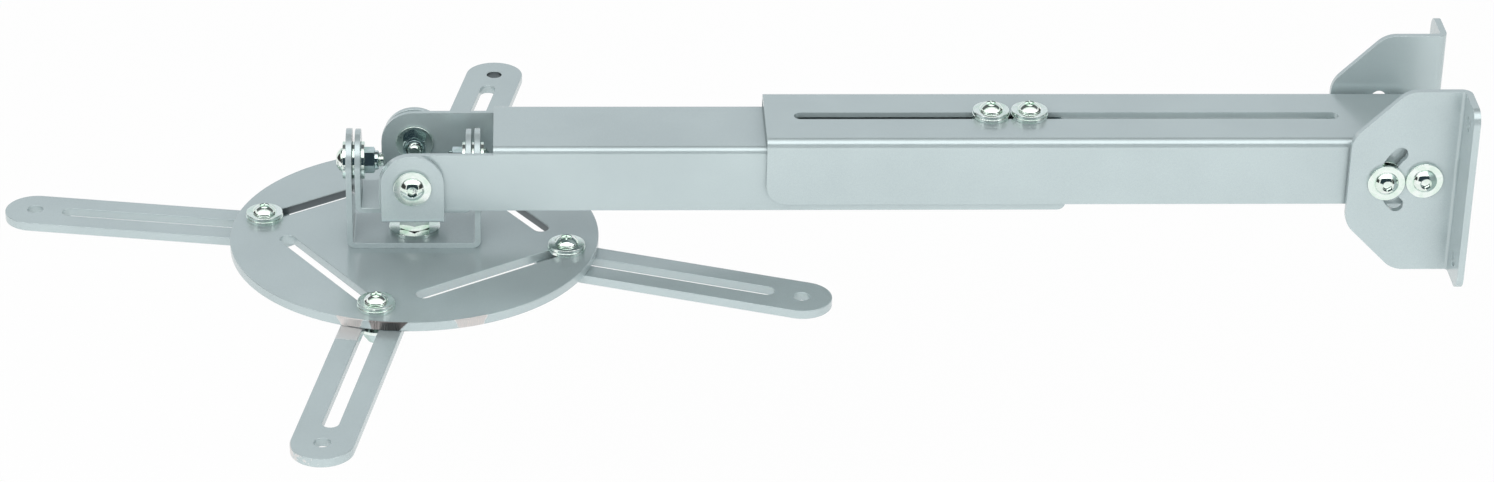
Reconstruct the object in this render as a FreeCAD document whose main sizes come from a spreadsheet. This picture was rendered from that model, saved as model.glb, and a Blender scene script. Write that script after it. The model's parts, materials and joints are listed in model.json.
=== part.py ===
import FreeCAD, Part
import math
import os

import Sketcher
from FreeCAD import Placement, Rotation, Vector

# Telescopic wall arm for a projector: two wall brackets, a tilting outer channel, a sliding inner
# channel, a two-axis gimbal and a slotted disc that carries four slotted arms.
# The origin is the middle of the four wall bolts on the wall's plane. The arm runs out along -X.

# Driving sizes in millimetres and degrees
SIZES = {
    # Wall brackets
    "bracket_sheet": 3.0,
    "bracket_height": 87.0,
    "bracket_reach": 50.4,
    "bracket_corner": 22.8,
    "corner_blend": 12.0,
    "flange_reach": 21.2,
    "flange_corner": 6.5,
    "bracket_fold": 1.5,
    "wall_hole_dia": 6.5,
    "wall_hole_inset": 10.1,
    "wall_hole_pitch": 66.0,
    # Tilt pivot and its guide
    "pivot_to_wall": 17.2,
    "pivot_rise": 1.0,
    "guide_radius": 16.75,
    "guide_drop": 4.0,
    "guide_half_span": 47.0,
    "guide_slot_width": 6.6,
    "spacer_thick": 1.9,
    # Outer channel
    "outer_sheet": 2.3,
    "outer_height": 31.0,
    "outer_reach": 287.5,
    "outer_fold": 1.7,
    "outer_end_round": 9.0,
    "outer_above_pivot": 16.6,
    "tail_length": 14.8,
    "tail_blend": 12.5,
    "slot_inset": 12.7,
    "slot_length": 240.6,
    "slot_width": 6.5,
    # Inner channel
    "inner_sheet": 2.2,
    "inner_width": 43.6,
    "inner_height": 30.2,
    "inner_fold": 1.0,
    "side_gap": 0.6,
    "web_gap": 2.7,
    "inner_length": 300.1,
    "inner_end_round": 3.5,
    "nose_length": 14.7,
    "nose_corner": 2.5,
    "web_cut": 35.0,
    "cut_depth": 3.2,
    "screw_offset": 253.1,
    "screw_pitch": 16.9,
    # Gimbal
    "arm_span": 441.3,
    "pitch_height": 12.6,
    "roll_rise": 1.2,
    "cross_sheet": 2.5,
    "cross_width": 27.4,
    "cross_span": 50.8,
    "cross_drop": 18.0,
    "cross_wall_gap": 0.2,
    "ear_top": 13.8,
    "cross_fold": 0.6,
    "yoke_sheet": 2.6,
    "yoke_width": 28.0,
    "yoke_gap": 1.3,
    "yoke_drop": 35.3,
    "yoke_fold": 1.0,
    # Disc
    "disc_dia": 162.6,
    "disc_thick": 4.2,
    "disc_slot_width": 7.0,
    "disc_slot_offset": 49.4,
    "disc_slot_outer": 48.2,
    "disc_slot_inner": 26.4,
    "disc_turn": 33.4,
    # Arms
    "arm_thick": 4.0,
    "arm_width": 26.6,
    "arm_slot_width": 7.0,
    "arm_slot_start": 15.9,
    "arm_slot_end": 109.0,
    "tip_hole_dia": 7.0,
    "arm_screw_place": 47.6,
    "reach_left": 104.5,
    "reach_front": 108.0,
    "reach_right": 108.0,
    "reach_back": 104.0,
    # Fasteners
    "bolt_dia": 6.0,
    "head_dia": 10.5,
    "head_high": 3.3,
    "socket_flats": 4.0,
    "socket_deep": 2.0,
    "washer_dia": 16.5,
    "washer_thick": 1.6,
    "washer_bore": 6.4,
    "spring_washer_dia": 16.0,
    "nut_flats": 10.0,
    "nut_high": 4.5,
    "nut_collar_dia": 8.6,
    "nut_collar_high": 1.5,
    "running_gap": 0.08,
    "tilt_bolt_length": 20.0,
    "slot_bolt_length": 20.0,
    "pitch_bolt_length": 16.0,
    "roll_bolt_length": 18.0,
    "arm_bolt_length": 20.0,
    "centre_bolt_dia": 8.0,
    "centre_bolt_length": 18.0,
    "centre_washer_dia": 22.5,
    "centre_lower_dia": 20.0,
    "centre_washer_thick": 1.8,
    "centre_nut_flats": 13.0,
    "centre_nut_high": 6.5,
    "centre_head_high": 5.3,
    "thread_gap": 0.05,
    "head_rim": 0.6,
}

# The way each arm points in the plan view, and the slot of the disc that its screw stands in
ARM_TURN = {"left": 170.9, "front": -100.0, "right": -19.5, "back": 79.5}
ARM_SLOT = {"left": 1, "front": 2, "right": 3, "back": 0}

# Places worked out from the sizes, as formulas of a second sheet
PLACES = {
    "bracket_half": "bracket_height / 2",
    "outer_width": "inner_width + 2 * side_gap + 2 * outer_sheet",
    "outer_half": "outer_width / 2",
    "outer_inside": "outer_half - outer_sheet",
    "plate_inner": "outer_half + spacer_thick",
    "plate_outer": "plate_inner + bracket_sheet",
    "flange_outer": "plate_outer + flange_reach",
    "wall_hole_y": "plate_outer + wall_hole_inset",
    "corner_x": "bracket_reach - bracket_corner",
    "corner_z": "bracket_half - bracket_corner",
    "wall_hole_z": "wall_hole_pitch / 2",
    "pivot_hole": "bolt_dia + 2 * running_gap",
    "guide_x": "pivot_to_wall + guide_radius * cos( guide_drop )",
    "guide_z": "pivot_rise - guide_radius * sin( guide_drop )",
    "outer_top": "pivot_rise + outer_above_pivot",
    "outer_bottom": "outer_top - outer_height",
    "outer_under": "outer_top - outer_sheet",
    "outer_left": "pivot_to_wall + outer_reach",
    "outer_length": "outer_left - tail_end",
    "tail_cut": "outer_top - cut_depth",
    "slot_left": "outer_left - slot_inset - slot_width / 2",
    "slot_right": "outer_left - slot_inset - slot_length + slot_width / 2",
    "tail_end": "pivot_to_wall - tail_length",
    "inner_half": "inner_width / 2",
    "inner_inside": "inner_half - inner_sheet",
    "inner_top": "outer_top - outer_sheet - web_gap",
    "inner_under": "inner_top - inner_sheet",
    "inner_bottom": "inner_top - inner_height",
    "pitch_x": "pivot_to_wall + arm_span",
    "pitch_z": "inner_bottom + pitch_height",
    "roll_z": "pitch_z + roll_rise",
    "inner_left": "pitch_x + nose_length",
    "inner_right": "inner_left - inner_length",
    "cut_right": "pitch_x - web_cut",
    "near_screw_x": "pitch_x - screw_offset",
    "far_screw_x": "near_screw_x - screw_pitch",
    "cut_top": "inner_top - cut_depth",
    "cross_half": "cross_span / 2",
    "cross_inside": "cross_half - cross_sheet",
    "cross_y_inside": "inner_half + cross_wall_gap",
    "cross_y_half": "cross_y_inside + cross_sheet",
    "cross_bottom": "pitch_z - cross_drop",
    "cross_floor": "cross_bottom + cross_sheet",
    "cross_ear": "roll_z + ear_top",
    "cross_out": "pitch_x + cross_half",
    "cross_out_inner": "pitch_x + cross_inside",
    "cross_in": "pitch_x - cross_half",
    "cross_in_inner": "pitch_x - cross_inside",
    "yoke_inside": "cross_half + yoke_gap",
    "yoke_half": "yoke_inside + yoke_sheet",
    "yoke_bottom": "pitch_z - yoke_drop",
    "yoke_floor": "yoke_bottom + yoke_sheet",
    "yoke_ear": "roll_z + yoke_width / 2",
    "yoke_out": "pitch_x + yoke_half",
    "yoke_out_inner": "pitch_x + yoke_inside",
    "yoke_in": "pitch_x - yoke_half",
    "yoke_in_inner": "pitch_x - yoke_inside",
    "disc_bottom": "yoke_bottom - disc_thick",
    "arm_bottom": "disc_bottom - arm_thick",
    "tail_clear": "outer_top + outer_sheet",
    "nose_clear": "inner_left + inner_sheet",
    "nose_round": "nose_length - 0.3",
    "cross_ear_round": "cross_width / 2 - 0.05",
    "yoke_ear_round": "yoke_width / 2 - 0.05",
    "centre_hole": "centre_bolt_dia + 2 * running_gap",
    "centre_washer_bore": "centre_bolt_dia + 0.4",
    "disc_slot_radius": "disc_slot_width / 2",
    "dome_rise": "head_high - head_rim",
    "dome_radius": "( head_dia * head_dia / 4 + dome_rise * dome_rise ) / ( 2 * dome_rise )",
}


class Sheets:
    """The two sheets: driving sizes as plain numbers, and places as formulas of them."""

    def __init__(self, doc):
        self.sizes = doc.addObject("Spreadsheet::Sheet", "Sizes")
        self.places = doc.addObject("Spreadsheet::Sheet", "Places")
        self.fill(self.sizes, {name: str(size) for name, size in SIZES.items()})
        doc.recompute()
        self.fill(self.places, {name: "=" + bind(rule, own="") for name, rule in PLACES.items()})
        doc.recompute()

    def fill(self, sheet, rows):
        for row, (name, text) in enumerate(rows.items(), start=1):
            sheet.set("A%d" % row, name)
            sheet.set("B%d" % row, text)
            sheet.setAlias("B%d" % row, name)

    def __getitem__(self, name):
        bare = name.lstrip("-")
        sheet = self.sizes if bare in SIZES else self.places
        value = float(sheet.get(bare))
        return -value if name.startswith("-") else value


def bind(rule, own="Places."):
    """A rule of bare names, written with the sheet that holds each name."""
    words = []
    for word in rule.split():
        bare = word.lstrip("-")
        sign = word[:len(word) - len(bare)]
        if bare in SIZES:
            word = sign + "Sizes." + bare
        elif bare in PLACES:
            word = sign + own + bare
        words.append(word)
    return " ".join(words)


doc = FreeCAD.newDocument("projector_mount")
at = Sheets(doc)
KEPT = []


def keep(piece, label):
    """Name a finished sub-part, which is written to its own file."""
    piece.Label = label
    KEPT.append(piece)
    return piece


def bound(piece, **rules):
    """Tie properties of a piece to rules of sheet names."""
    for name, rule in rules.items():
        piece.setExpression(name, bind(rule))
    return piece


# Sketches on a body's own planes

def new_body(name):
    return doc.addObject("PartDesign::Body", name + "_body")


def new_sketch(body, plane, lift=None):
    """A sketch on one of the body's origin planes, lifted along the plane's normal."""
    sketch = body.newObject("Sketcher::SketchObject", body.Name + "_sketch")
    support = [item for item in body.Origin.OriginFeatures if item.Role == plane]
    sketch.AttachmentSupport = [(support[0], "")]
    sketch.MapMode = "FlatFace"
    if lift:
        sketch.setExpression("AttachmentOffset.Base.z", bind(lift))
    return sketch


def pin_point(sketch, line, end, spot):
    """Fix a point of the sketch at two named distances from its origin."""
    for kind, name in zip(("DistanceX", "DistanceY"), spot):
        value = 0.0 if name == "0" else at[name]
        rule = Sketcher.Constraint(kind, -1, 1, line, end, value)
        index = sketch.addConstraint(rule)
        if name != "0":
            sketch.setExpression("Constraints[%d]" % index, bind(name))


def vector(spot):
    x, y = [0.0 if name == "0" else at[name] for name in spot]
    return Vector(x, y, 0)


def outline(sketch, spots):
    """A closed outline of straight lines, whose corners lie at named places."""
    corners = [vector(spot) for spot in spots]
    count = len(corners)
    for index, corner in enumerate(corners):
        line = Part.LineSegment(corner, corners[(index + 1) % count])
        sketch.addGeometry(line, False)
    for index, spot in enumerate(spots):
        sketch.addConstraint(Sketcher.Constraint("Coincident", index, 2, (index + 1) % count, 1))
        pin_point(sketch, index, 1, spot)


def circle(sketch, spot, dia):
    radius = at[dia] / 2
    index = sketch.addGeometry(Part.Circle(vector(spot), Vector(0, 0, 1), radius), False)
    pin_point(sketch, index, 3, spot)
    rule = sketch.addConstraint(Sketcher.Constraint("Radius", index, radius))
    sketch.setExpression("Constraints[%d]" % rule, bind(dia + " / 2"))


def slot(sketch, first, second, width):
    """A straight slot between two named centres, along one of the sketch's axes."""
    a = vector(first)
    b = vector(second)
    radius = at[width] / 2
    angle = math.atan2((b - a).y, (b - a).x)
    side = Vector(-math.sin(angle), math.cos(angle), 0) * radius
    quarter = math.pi / 2
    axis = Vector(0, 0, 1)
    near = Part.ArcOfCircle(Part.Circle(a, axis, radius), angle + quarter, angle + 3 * quarter)
    far = Part.ArcOfCircle(Part.Circle(b, axis, radius), angle - quarter, angle + quarter)
    first_arc = sketch.addGeometry(near, False)
    second_arc = sketch.addGeometry(far, False)
    low = sketch.addGeometry(Part.LineSegment(a - side, b - side), False)
    high = sketch.addGeometry(Part.LineSegment(b + side, a + side), False)
    for one, one_end, two, two_end in ((first_arc, 2, low, 1), (low, 2, second_arc, 1),
                                       (second_arc, 2, high, 1), (high, 2, first_arc, 1)):
        sketch.addConstraint(Sketcher.Constraint("Tangent", one, one_end, two, two_end))
    pin_point(sketch, first_arc, 3, first)
    pin_point(sketch, second_arc, 3, second)
    rule = sketch.addConstraint(Sketcher.Constraint("Radius", first_arc, radius))
    sketch.setExpression("Constraints[%d]" % rule, bind(width + " / 2"))


# Features

def pad(body, sketch, length, both=False, back=False):
    feature = body.newObject("PartDesign::Pad", body.Name + "_pad")
    feature.Profile = sketch
    feature.SideType = "Symmetric" if both else "One side"
    feature.Reversed = back
    bound(feature, Length=length)
    doc.recompute()
    return feature


def cut_through(body, sketch):
    """Cut the sketch through the whole body, both ways, and check that it took something."""
    before = body.Shape.Volume
    feature = body.newObject("PartDesign::Pocket", body.Name + "_pocket")
    feature.Profile = sketch
    feature.SideType = "Symmetric"
    feature.Type = "ThroughAll"
    doc.recompute()
    if body.Shape.Volume > before - 1.0:
        raise RuntimeError(feature.Name + " cuts nothing")
    return feature


def edges(body, along, **spot):
    """Names of the body's straight edges along an axis that pass a spot given as x, y or z."""
    names = []
    for index, edge in enumerate(body.Shape.Edges, start=1):
        if not isinstance(edge.Curve, Part.Line):
            continue
        way = edge.Curve.Direction
        middle = edge.CenterOfMass
        straight = abs(getattr(way, along)) > 0.999
        if straight and all(abs(getattr(middle, axis) - place) < 0.02 for axis, place in spot.items()):
            names.append("Edge%d" % index)
    if not names:
        raise RuntimeError("no edge along %s at %s in %s" % (along, spot, body.Name))
    return names


def fillet(body, names, radius):
    tip = body.Tip
    feature = body.newObject("PartDesign::Fillet", body.Name + "_fillet")
    feature.Base = (tip, names)
    bound(feature, Radius=radius)
    doc.recompute()
    return feature


def on_both(body, along, radius, first, second, **spot):
    """Round the edges at plus and minus a place on one axis."""
    names = []
    for sign in (-1, 1):
        names += edges(body, along, **{first: sign * second}, **spot)
    return fillet(body, names, radius)


# Wall brackets

def arc_slot_tool():
    """The curved slot about the tilt pivot, as a solid that runs through the plate."""
    deep = "plate_outer + bracket_sheet"
    tools = []
    for index, sign in enumerate((1, -1)):
        ring = doc.addObject("Part::Cylinder", "arc_slot_ring_%d" % index)
        half = "+ guide_slot_width / 2" if sign > 0 else "- guide_slot_width / 2"
        bound(ring, Radius="guide_radius " + half, Height=deep, Angle="2 * guide_half_span")
        tools.append(ring)
    sector = doc.addObject("Part::Cut", "arc_slot_sector")
    sector.Base, sector.Tool = tools
    ends = [sector]
    for index, angle in enumerate((0, 2)):
        end = doc.addObject("Part::Cylinder", "arc_slot_end_%d" % index)
        bound(end, Radius="guide_slot_width / 2", Height=deep)
        end.setExpression("Placement.Base.x", bind("guide_radius * cos( %d * guide_half_span )" % angle))
        end.setExpression("Placement.Base.y", bind("guide_radius * sin( %d * guide_half_span )" % angle))
        ends.append(end)
    tool = doc.addObject("Part::MultiFuse", "arc_slot")
    tool.Shapes = ends
    start = Rotation(Vector(0, 0, 1), 180 - at["guide_half_span"])
    upright = Rotation(Vector(1, 0, 0), 90)
    tool.Placement = Placement(Vector(-at["pivot_to_wall"], 0, at["pivot_rise"]), upright * start)
    return tool


def wall_brackets():
    """Two folded plates, each with a flange turned outwards and two wall holes."""
    body = new_body("bracket")
    plate = new_sketch(body, "XZ_Plane", "plate_inner")
    outline(plate, [("0", "bracket_half"), ("-corner_x", "bracket_half"), ("-bracket_reach", "corner_z"),
                    ("-bracket_reach", "-corner_z"), ("-corner_x", "-bracket_half"),
                    ("0", "-bracket_half")])
    pad(body, plate, "bracket_sheet")
    flange = new_sketch(body, "YZ_Plane")
    outline(flange, [("-plate_inner", "bracket_half"), ("-flange_outer", "bracket_half"),
                     ("-flange_outer", "-bracket_half"), ("-plate_inner", "-bracket_half")])
    pad(body, flange, "bracket_sheet", back=True)
    half = at["bracket_half"]
    on_both(body, "x", "flange_corner", "z", half, y=-at["flange_outer"])
    on_both(body, "y", "corner_blend", "z", half, x=-at["corner_x"])
    on_both(body, "y", "corner_blend", "z", at["corner_z"], x=-at["bracket_reach"])
    fillet(body, edges(body, "z", x=0, y=-at["plate_inner"]), "bracket_fold + bracket_sheet")
    fillet(body, edges(body, "z", x=-at["bracket_sheet"], y=-at["plate_outer"]), "bracket_fold")
    pivot = new_sketch(body, "XZ_Plane")
    circle(pivot, ("-pivot_to_wall", "pivot_rise"), "pivot_hole")
    cut_through(body, pivot)
    holes = new_sketch(body, "YZ_Plane")
    circle(holes, ("-wall_hole_y", "wall_hole_z"), "wall_hole_dia")
    circle(holes, ("-wall_hole_y", "-wall_hole_z"), "wall_hole_dia")
    cut_through(body, holes)
    front = doc.addObject("Part::Cut", "bracket_front")
    front.Base = body
    front.Tool = arc_slot_tool()
    rear = doc.addObject("Part::Mirroring", "bracket_rear")
    rear.Source = front
    rear.Normal = Vector(0, 1, 0)
    keep(front, "bracket_front")
    keep(rear, "bracket_rear")


# Telescopic channels

def channel_section(body, half, inside, top, under, bottom, start, length):
    """A channel that is open below, as a sharp section padded along the arm."""
    section = new_sketch(body, "YZ_Plane", start)
    outline(section, [("-" + half, bottom), ("-" + half, top), (half, top), (half, bottom),
                      (inside, bottom), (inside, under), ("-" + inside, under), ("-" + inside, bottom)])
    pad(body, section, length)


def channel_folds(body, half, inside, top, under, inner, outer):
    on_both(body, "x", outer, "y", at[half], z=at[top])
    on_both(body, "x", inner, "y", at[inside], z=at[under])


def outer_channel():
    """The wide channel: slotted web, rounded mouth, and a tail that turns clear of the wall."""
    body = new_body("outer_channel")
    channel_section(body, "outer_half", "outer_inside", "outer_top", "outer_under", "outer_bottom",
                    "-outer_left", "outer_length")
    channel_folds(body, "outer_half", "outer_inside", "outer_top", "outer_under",
                  "outer_fold", "outer_fold + outer_sheet")
    tail = new_sketch(body, "XZ_Plane")
    outline(tail, [("-pivot_to_wall", "tail_cut"), ("0", "tail_cut"), ("0", "tail_clear"),
                   ("-pivot_to_wall", "tail_clear")])
    cut_through(body, tail)
    fillet(body, edges(body, "y", x=-at["outer_left"], z=at["outer_bottom"]), "outer_end_round")
    ends = edges(body, "y", x=-at["tail_end"], z=at["outer_bottom"])
    ends += edges(body, "y", x=-at["tail_end"], z=at["tail_cut"])
    fillet(body, ends, "tail_blend")
    holes = new_sketch(body, "XZ_Plane")
    circle(holes, ("-pivot_to_wall", "pivot_rise"), "pivot_hole")
    circle(holes, ("-guide_x", "guide_z"), "pivot_hole")
    cut_through(body, holes)
    web = new_sketch(body, "XY_Plane")
    slot(web, ("-slot_left", "0"), ("-slot_right", "0"), "slot_width")
    cut_through(body, web)
    keep(body, "outer_channel")


def inner_channel():
    """The narrow channel: its web stops short of the gimbal and its nose is round at the pivot."""
    body = new_body("inner_channel")
    channel_section(body, "inner_half", "inner_inside", "inner_top", "inner_under", "inner_bottom",
                    "-inner_left", "inner_length")
    channel_folds(body, "inner_half", "inner_inside", "inner_top", "inner_under",
                  "inner_fold", "inner_fold + inner_sheet")
    nose = new_sketch(body, "XZ_Plane")
    outline(nose, [("-nose_clear", "cut_top"), ("-cut_right", "cut_top"), ("-cut_right", "tail_clear"),
                   ("-nose_clear", "tail_clear")])
    cut_through(body, nose)
    left = -at["inner_left"]
    fillet(body, edges(body, "y", x=left, z=at["cut_top"]), "nose_round")
    fillet(body, edges(body, "y", x=left, z=at["inner_bottom"]), "nose_corner")
    fillet(body, edges(body, "y", x=-at["inner_right"], z=at["inner_bottom"]), "inner_end_round")
    holes = new_sketch(body, "XZ_Plane")
    circle(holes, ("-pitch_x", "pitch_z"), "pivot_hole")
    cut_through(body, holes)
    screws = new_sketch(body, "XY_Plane")
    circle(screws, ("-near_screw_x", "0"), "pivot_hole")
    circle(screws, ("-far_screw_x", "0"), "pivot_hole")
    cut_through(body, screws)
    keep(body, "inner_channel")


# Gimbal

def gimbal_cross():
    """One sheet cut as a cross and folded up into four ears."""
    body = new_body("gimbal_cross")
    long_fold = new_sketch(body, "XZ_Plane")
    outline(long_fold, [("-cross_out", "cross_bottom"), ("-cross_out", "cross_ear"),
                        ("-cross_out_inner", "cross_ear"), ("-cross_out_inner", "cross_floor"),
                        ("-cross_in_inner", "cross_floor"), ("-cross_in_inner", "cross_ear"),
                        ("-cross_in", "cross_ear"), ("-cross_in", "cross_bottom")])
    pad(body, long_fold, "cross_width", both=True)
    short_fold = new_sketch(body, "YZ_Plane", "-pitch_x")
    outline(short_fold, [("-cross_y_half", "cross_bottom"), ("-cross_y_half", "cross_ear"),
                         ("-cross_y_inside", "cross_ear"), ("-cross_y_inside", "cross_floor"),
                         ("cross_y_inside", "cross_floor"), ("cross_y_inside", "cross_ear"),
                         ("cross_y_half", "cross_ear"), ("cross_y_half", "cross_bottom")])
    pad(body, short_fold, "cross_width", both=True)
    bottom = at["cross_bottom"]
    floor = at["cross_floor"]
    ear = at["cross_ear"]
    half = at["cross_width"] / 2
    middle = -at["pitch_x"]
    outer = []
    for sign in (-1, 1):
        outer += edges(body, "y", x=middle + sign * at["cross_half"], z=bottom)
        outer += edges(body, "x", y=sign * at["cross_y_half"], z=bottom)
    fillet(body, outer, "cross_fold + cross_sheet")
    inner = []
    for sign in (-1, 1):
        inner += edges(body, "y", x=middle + sign * at["cross_inside"], z=floor)
        inner += edges(body, "x", y=sign * at["cross_y_inside"], z=floor)
    fillet(body, inner, "cross_fold")
    tops = []
    for sign in (-1, 1):
        tops += edges(body, "x", y=sign * half, z=ear)
        tops += edges(body, "y", x=middle + sign * half, z=ear)
    fillet(body, tops, "cross_ear_round")
    pitch = new_sketch(body, "XZ_Plane")
    circle(pitch, ("-pitch_x", "pitch_z"), "pivot_hole")
    cut_through(body, pitch)
    roll = new_sketch(body, "YZ_Plane")
    circle(roll, ("0", "roll_z"), "pivot_hole")
    cut_through(body, roll)
    keep(body, "gimbal_cross")


def lower_yoke():
    """The folded yoke that stands on the disc and carries the cross between its ears."""
    body = new_body("lower_yoke")
    fold = new_sketch(body, "XZ_Plane")
    outline(fold, [("-yoke_out", "yoke_bottom"), ("-yoke_out", "yoke_ear"),
                   ("-yoke_out_inner", "yoke_ear"), ("-yoke_out_inner", "yoke_floor"),
                   ("-yoke_in_inner", "yoke_floor"), ("-yoke_in_inner", "yoke_ear"),
                   ("-yoke_in", "yoke_ear"), ("-yoke_in", "yoke_bottom")])
    pad(body, fold, "yoke_width", both=True)
    middle = -at["pitch_x"]
    outer = []
    for sign in (-1, 1):
        outer += edges(body, "y", x=middle + sign * at["yoke_half"], z=at["yoke_bottom"])
    fillet(body, outer, "yoke_fold + yoke_sheet")
    inner = []
    for sign in (-1, 1):
        inner += edges(body, "y", x=middle + sign * at["yoke_inside"], z=at["yoke_floor"])
    fillet(body, inner, "yoke_fold")
    on_both(body, "x", "yoke_ear_round", "y", at["yoke_width"] / 2, z=at["yoke_ear"])
    roll = new_sketch(body, "YZ_Plane")
    circle(roll, ("0", "roll_z"), "pivot_hole")
    cut_through(body, roll)
    centre = new_sketch(body, "XY_Plane")
    circle(centre, ("-pitch_x", "0"), "centre_hole")
    cut_through(body, centre)
    keep(body, "lower_yoke")


# Disc and arms

def slotted_disc():
    """The round plate, with four straight slots laid out like a pinwheel."""
    body = new_body("slotted_disc")
    rim = new_sketch(body, "XY_Plane")
    circle(rim, ("0", "0"), "disc_dia")
    pad(body, rim, "disc_thick")
    centre = new_sketch(body, "XY_Plane")
    circle(centre, ("0", "0"), "centre_hole")
    cut_through(body, centre)
    one = new_sketch(body, "XY_Plane")
    slot(one, ("disc_slot_offset", "-disc_slot_inner"), ("disc_slot_offset", "disc_slot_outer"),
         "disc_slot_width")
    pocket = cut_through(body, one)
    ring = body.newObject("PartDesign::PolarPattern", "disc_slots")
    ring.Originals = [pocket]
    axis = [item for item in body.Origin.OriginFeatures if item.Role == "Z_Axis"]
    ring.Axis = (axis[0], [""])
    ring.Angle = 360
    ring.Occurrences = len(ARM_SLOT)
    body.Tip = ring
    body.Placement = Placement(Vector(-at["pitch_x"], 0, at["disc_bottom"]),
                               Rotation(Vector(0, 0, 1), at["disc_turn"]))
    keep(body, "slotted_disc")


def screw_spot(side):
    """Where an arm's screw stands in its slot of the disc, in the plan view."""
    turn = Rotation(Vector(0, 0, 1), at["disc_turn"] + 90 * ARM_SLOT[side])
    spot = turn.multVec(Vector(at["disc_slot_offset"], at["arm_screw_place"], 0))
    return spot + Vector(-at["pitch_x"], 0, 0)


def slotted_arm(side):
    """A flat arm with round ends, a long slot for its screw and a round hole at its tip."""
    body = new_body("arm_" + side)
    blank = new_sketch(body, "XY_Plane")
    slot(blank, ("-arm_slot_end", "0"), ("0", "0"), "arm_width")
    pad(body, blank, "arm_thick")
    long_slot = new_sketch(body, "XY_Plane")
    slot(long_slot, ("-arm_slot_end", "0"), ("-arm_slot_start", "0"), "arm_slot_width")
    cut_through(body, long_slot)
    tip = new_sketch(body, "XY_Plane")
    circle(tip, ("0", "0"), "tip_hole_dia")
    cut_through(body, tip)
    turn = Rotation(Vector(0, 0, 1), ARM_TURN[side])
    place = screw_spot(side) + turn.multVec(Vector(at["reach_" + side], 0, at["arm_bottom"]))
    body.Placement = Placement(place, turn)
    keep(body, "arm_" + side)


# Fasteners, each made with its bearing face at zero and its head or nut above it

def facing(spot, way):
    return Placement(Vector(*spot), Rotation(Vector(0, 0, 1), Vector(*way)))


def cylinder(name, radius, height, lift="0"):
    piece = doc.addObject("Part::Cylinder", name)
    bound(piece, Radius=radius, Height=height)
    piece.setExpression("Placement.Base.z", bind(lift))
    return piece


def hexagon(name, flats, height, lift="0"):
    piece = doc.addObject("Part::Prism", name)
    piece.Polygon = 6
    bound(piece, Circumradius=flats + " / sqrt( 3 )", Height=height)
    piece.setExpression("Placement.Base.z", bind(lift))
    return piece


def cut(name, base, tool):
    piece = doc.addObject("Part::Cut", name)
    piece.Base = base
    piece.Tool = tool
    return piece


def fuse(name, pieces):
    piece = doc.addObject("Part::MultiFuse", name)
    piece.Shapes = pieces
    return piece


def washer(name, dia, bore, thick):
    return cut(name, cylinder(name + "_rim", dia + " / 2", thick),
               cylinder(name + "_bore", bore + " / 2", thick))


def flat_washer(name):
    return washer(name, "washer_dia", "washer_bore", "washer_thick")


def nut(name):
    """A hexagon with the round collar of a locking nut on top."""
    solid = fuse(name + "_solid", [
        hexagon(name + "_hexagon", "nut_flats", "nut_high"),
        cylinder(name + "_collar", "nut_collar_dia / 2", "nut_collar_high", "nut_high")])
    bore = cylinder(name + "_bore", "bolt_dia / 2 + thread_gap", "nut_high + nut_collar_high")
    return cut(name, solid, bore)


def button_screw(name, length):
    """A domed head with a hexagon socket on a plain shank."""
    blank = cylinder(name + "_blank", "head_dia / 2", "head_high")
    ball = doc.addObject("Part::Sphere", name + "_ball")
    bound(ball, Radius="dome_radius")
    ball.setExpression("Placement.Base.z", bind("head_high - dome_radius"))
    dome = doc.addObject("Part::Common", name + "_dome")
    dome.Base = blank
    dome.Tool = ball
    shank = cylinder(name + "_shank", "bolt_dia / 2", length, "-" + length)
    socket = hexagon(name + "_socket", "socket_flats", "socket_deep", "head_high - socket_deep")
    return cut(name, fuse(name + "_solid", [dome, shank]), socket)


def group(label, pieces):
    """Like fasteners that share one file, as separate solids."""
    whole = doc.addObject("Part::Compound", label)
    whole.Links = pieces
    return keep(whole, label)


def placed(piece, spot, way):
    piece.Placement = facing(spot, way)
    return piece


def row(label, make, spots):
    """One group of like fasteners, each at its own place and facing its own way."""
    pieces = []
    for index, (spot, way) in enumerate(spots, start=1):
        pieces.append(placed(make("%s_%d" % (label, index)), spot, way))
    return group(label, pieces)


def sideways(places, depth, inward=False):
    """Spots on the front and the rear at one depth, facing out, or in towards the middle."""
    spots = []
    for sign in (-1, 1):
        way = (0, -sign if inward else sign, 0)
        spots += [((x, sign * depth, z), way) for x, z in places]
    return spots


def endways(depth, inward=False):
    """Spots on both sides of the gimbal along the arm, facing out, or in towards the middle."""
    spots = []
    for sign in (-1, 1):
        way = (-sign if inward else sign, 0, 0)
        spots.append(((-at["pitch_x"] + sign * depth, 0, at["roll_z"]), way))
    return spots


def tilt_fasteners():
    pivot = (-at["pivot_to_wall"], at["pivot_rise"])
    guide = (-at["guide_x"], at["guide_z"])
    thick = at["washer_thick"]
    seat = at["plate_outer"] + thick
    inside = at["outer_inside"] - thick
    screw = lambda name: button_screw(name, "tilt_bolt_length")
    spacer = lambda name: washer(name, "washer_dia", "washer_bore", "spacer_thick")
    row("tilt_pivot_screws", screw, sideways([pivot], seat))
    row("tilt_guide_screws", screw, sideways([guide], seat))
    row("tilt_washers", flat_washer, sideways([pivot, guide], at["plate_outer"]))
    row("tilt_spacers", spacer, sideways([pivot, guide], at["outer_half"]))
    row("tilt_nut_washers", flat_washer, sideways([pivot, guide], inside))
    row("tilt_nuts", nut, sideways([pivot, guide], inside, inward=True))


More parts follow.
